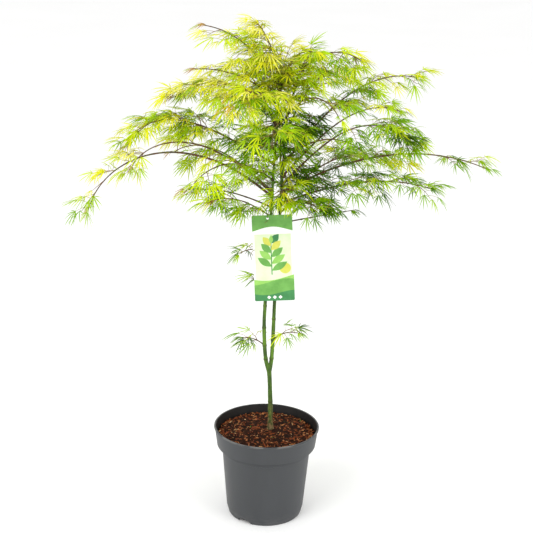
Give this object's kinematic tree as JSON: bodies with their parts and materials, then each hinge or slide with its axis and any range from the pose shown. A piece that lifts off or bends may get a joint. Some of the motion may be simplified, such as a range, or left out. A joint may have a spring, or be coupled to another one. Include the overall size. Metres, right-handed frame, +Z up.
{
  "type": "potted japanese maple",
  "caption": "Young cut-leaved Japanese maple on two slim stems in a round plastic nursery pot, with a layered arching crown and a hanging card label.",
  "frame": {"origin": "the middle of the pot's flat underside", "axes": "+Z up along the pot's axis; -Y towards the front, where the label hangs; +X to the right seen from the front"},
  "size_m": [0.9278, 0.6196, 1.1036],
  "materials": {
    "pot": "satin dark grey moulded plastic",
    "soil": "loose damp bark chips, rough",
    "bark": "smooth green young bark with darker scars",
    "bough": "smooth thin brown bark",
    "foliage": "thin soft leaves, yellow green to mid green",
    "label": "printed plastic card",
    "tie": "plastic coated wire"
  },
  "bodies": {
    "root": {"bough_back_left_high": "bough", "bough_back_left_low": "bough", "bough_back_low": "bough", "bough_back_right_high": "bough", "bough_back_right_low": "bough", "bough_front_left": "bough", "bough_front_right": "bough", "bough_left_high": "bough", "bough_left_reach": "bough", "bough_left_shoulder": "bough", "bough_left_under": "bough", "bough_right_high": "bough", "bough_right_lower": "bough", "bough_right_reach": "bough", "bough_right_shoulder": "bough", "bough_right_upper": "bough", "foliage_back_left_high": "foliage", "foliage_back_left_low": "foliage", "foliage_back_low": "foliage", "foliage_back_right_high": "foliage", "foliage_back_right_low": "foliage", "foliage_crown_right": "foliage", "foliage_crown_top": "foliage", "foliage_front_left": "foliage", "foliage_front_left_high": "foliage", "foliage_front_low": "foliage", "foliage_front_middle": "foliage", "foliage_front_right": "foliage", "foliage_front_right_high": "foliage", "foliage_left_crown": "foliage", "foliage_left_high": "foliage", "foliage_left_lower": "foliage", "foliage_left_peak": "foliage", "foliage_left_reach": "foliage", "foliage_left_shoulder": "foliage", "foliage_left_skirt": "foliage", "foliage_left_under": "foliage", "foliage_right_front": "foliage", "foliage_right_high": "foliage", "foliage_right_lower": "foliage", "foliage_right_peak": "foliage", "foliage_right_reach": "foliage", "foliage_right_shoulder": "foliage", "foliage_right_skirt": "foliage", "foliage_right_upper": "foliage", "foliage_sprig_low_left": "foliage", "foliage_sprig_low_right": "foliage", "foliage_sprig_mid_left": "foliage", "foliage_sprig_small": "foliage", "label": "label", "label_tie": "tie", "pot": "pot", "soil": "soil", "stem_left": "bark", "stem_right": "bark", "trunk": "bark"}
  },
  "joints": []
}
